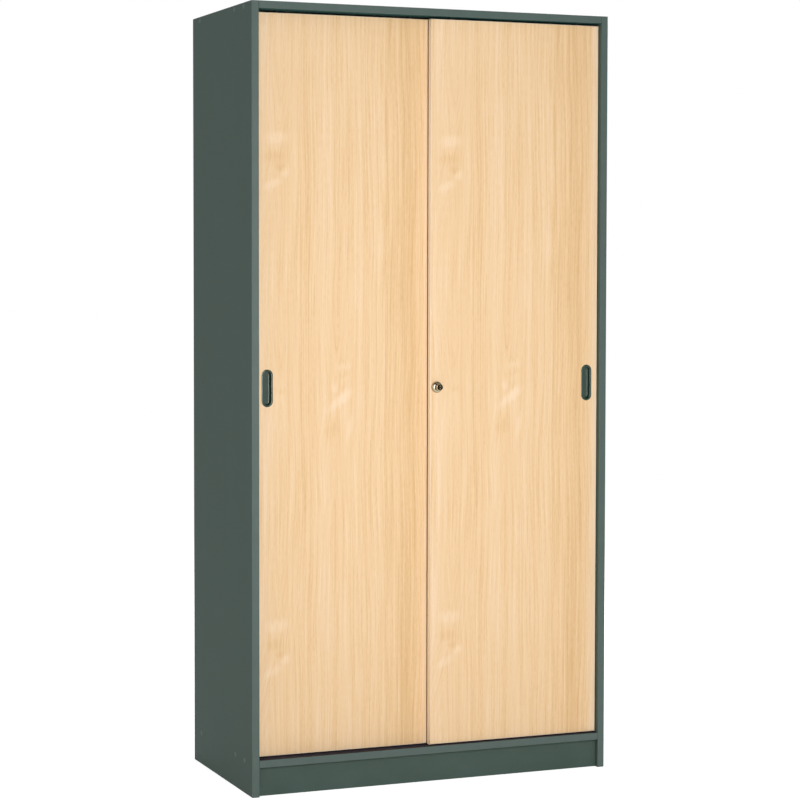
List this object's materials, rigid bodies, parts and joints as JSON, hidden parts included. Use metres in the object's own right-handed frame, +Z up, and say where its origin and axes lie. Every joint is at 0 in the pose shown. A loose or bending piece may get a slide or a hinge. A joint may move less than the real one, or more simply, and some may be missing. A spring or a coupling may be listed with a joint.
{
  "type": "sliding door cabinet",
  "caption": "Tall office cupboard: panel carcass with shelves on pins, sliding doors on rollers in twin tracks, flush pulls and a push-cylinder lock.",
  "frame": {"origin": "on the floor, at the middle of the overall footprint, which reaches from the lock's nose in front to the back clips", "axes": "+Z up, doors face -Y, +X to the right of someone who stands in front"},
  "size_m": [1, 0.5164, 2.018],
  "materials": {
    "carcass_board": "melamine-faced chipboard, dark green-grey, satin with a fine pearl",
    "door_board": "melamine-faced chipboard with a light beech decor, vertical grain, satin",
    "pull_plastic": "moulded, dark green-grey, glossy",
    "track_plastic": "extruded, brown-black, satin",
    "cap_plastic": "moulded, green-grey",
    "housing_plastic": "moulded, black",
    "nylon": "moulded nylon, natural",
    "lock_nickel": "die-cast zinc, nickel plated, bright",
    "pin_steel": "turned steel, zinc plated"
  },
  "bodies": {
    "carcass": {"left_side_panel": "carcass_board", "right_side_panel": "carcass_board", "top_panel": "carcass_board", "bottom_panel": "carcass_board", "front_plinth": "carcass_board", "back_panel": "carcass_board", "fixed_middle_shelf": "carcass_board", "adjustable_shelf_1": "carcass_board", "adjustable_shelf_2": "carcass_board", "adjustable_shelf_3": "carcass_board", "bottom_track": "track_plastic", "top_track": "track_plastic", "corner_screw_left_bottom_front": "cap_plastic", "corner_screw_left_bottom_middle": "cap_plastic", "corner_screw_left_bottom_rear": "cap_plastic", "corner_screw_left_top_front": "cap_plastic", "corner_screw_left_top_middle": "cap_plastic", "corner_screw_left_top_rear": "cap_plastic", "corner_screw_right_bottom_front": "cap_plastic", "corner_screw_right_bottom_middle": "cap_plastic", "corner_screw_right_bottom_rear": "cap_plastic", "corner_screw_right_top_front": "cap_plastic", "corner_screw_right_top_middle": "cap_plastic", "corner_screw_right_top_rear": "cap_plastic", "shelf_pin_1_left_front": "pin_steel", "shelf_pin_1_left_rear": "pin_steel", "shelf_pin_1_right_front": "pin_steel", "shelf_pin_1_right_rear": "pin_steel", "shelf_pin_2_left_front": "pin_steel", "shelf_pin_2_left_rear": "pin_steel", "shelf_pin_2_right_front": "pin_steel", "shelf_pin_2_right_rear": "pin_steel", "shelf_pin_3_left_front": "pin_steel", "shelf_pin_3_left_rear": "pin_steel", "shelf_pin_3_right_front": "pin_steel", "shelf_pin_3_right_rear": "pin_steel", "back_clip_left_upper": "cap_plastic", "back_clip_left_lower": "cap_plastic", "back_clip_right_upper": "cap_plastic", "back_clip_right_lower": "cap_plastic"},
    "left_door": {"left_door_panel": "door_board", "left_door_pull": "pull_plastic", "left_door_roller_housing_left": "housing_plastic", "left_door_roller_housing_right": "housing_plastic"},
    "right_door": {"right_door_panel": "door_board", "right_door_pull": "pull_plastic", "right_door_roller_housing_left": "housing_plastic", "right_door_roller_housing_right": "housing_plastic", "lock_housing": "lock_nickel"},
    "left_door_wheel_left": {"left_door_roller_wheel_left": "nylon"},
    "left_door_wheel_right": {"left_door_roller_wheel_right": "nylon"},
    "right_door_wheel_left": {"right_door_roller_wheel_left": "nylon"},
    "right_door_wheel_right": {"right_door_roller_wheel_right": "nylon"},
    "left_door_guide_left": {"left_door_top_guide_left": "nylon"},
    "left_door_guide_right": {"left_door_top_guide_right": "nylon"},
    "right_door_guide_left": {"right_door_top_guide_left": "nylon"},
    "right_door_guide_right": {"right_door_top_guide_right": "nylon"},
    "lock_cylinder": {"lock_cylinder": "lock_nickel"},
    "lock_key_plug": {"lock_key_plug": "lock_nickel"}
  },
  "joints": [
    {"name": "left_door_slide", "type": "slide", "parent": "carcass", "child": "left_door", "axis": [1, 0, 0], "range_m": [0, 0.473]},
    {"name": "right_door_slide", "type": "slide", "parent": "carcass", "child": "right_door", "axis": [-1, 0, 0], "range_m": [0, 0.473]},
    {"name": "left_door_wheel_left_spin", "type": "hinge", "parent": "left_door", "child": "left_door_wheel_left", "pos_m": [-0.4195, -0.20475, 0.1008], "axis": [0, 1, 0], "continuous": true},
    {"name": "left_door_wheel_right_spin", "type": "hinge", "parent": "left_door", "child": "left_door_wheel_right", "pos_m": [-0.0535, -0.20475, 0.1008], "axis": [0, 1, 0], "continuous": true},
    {"name": "right_door_wheel_left_spin", "type": "hinge", "parent": "right_door", "child": "right_door_wheel_left", "pos_m": [0.0535, -0.22475, 0.1008], "axis": [0, 1, 0], "continuous": true},
    {"name": "right_door_wheel_right_spin", "type": "hinge", "parent": "right_door", "child": "right_door_wheel_right", "pos_m": [0.4195, -0.22475, 0.1008], "axis": [0, 1, 0], "continuous": true},
    {"name": "left_door_guide_left_dip", "type": "slide", "parent": "left_door", "child": "left_door_guide_left", "axis": [0, 0, -1], "range_m": [0, 0.006], "stiffness_N_per_m": 400, "springref_m": -0.004},
    {"name": "left_door_guide_right_dip", "type": "slide", "parent": "left_door", "child": "left_door_guide_right", "axis": [0, 0, -1], "range_m": [0, 0.006], "stiffness_N_per_m": 400, "springref_m": -0.004},
    {"name": "right_door_guide_left_dip", "type": "slide", "parent": "right_door", "child": "right_door_guide_left", "axis": [0, 0, -1], "range_m": [0, 0.006], "stiffness_N_per_m": 400, "springref_m": -0.004},
    {"name": "right_door_guide_right_dip", "type": "slide", "parent": "right_door", "child": "right_door_guide_right", "axis": [0, 0, -1], "range_m": [0, 0.006], "stiffness_N_per_m": 400, "springref_m": -0.004},
    {"name": "lock_push", "type": "slide", "parent": "right_door", "child": "lock_cylinder", "axis": [0, 1, 0], "range_m": [0, 0.011], "stiffness_N_per_m": 300, "springref_m": -0.003},
    {"name": "key_turn", "type": "hinge", "parent": "lock_cylinder", "child": "lock_key_plug", "pos_m": [0.0115, -0.25, 1.037], "axis": [0, 1, 0], "range_deg": [0, 90]}
  ],
  "couplings": [
    {"joint": "left_door_wheel_left_spin", "follows": "left_door_slide", "rad_per_m": 76.923},
    {"joint": "left_door_wheel_right_spin", "follows": "left_door_slide", "rad_per_m": 76.923},
    {"joint": "right_door_wheel_left_spin", "follows": "right_door_slide", "rad_per_m": -76.923},
    {"joint": "right_door_wheel_right_spin", "follows": "right_door_slide", "rad_per_m": -76.923}
  ]
}
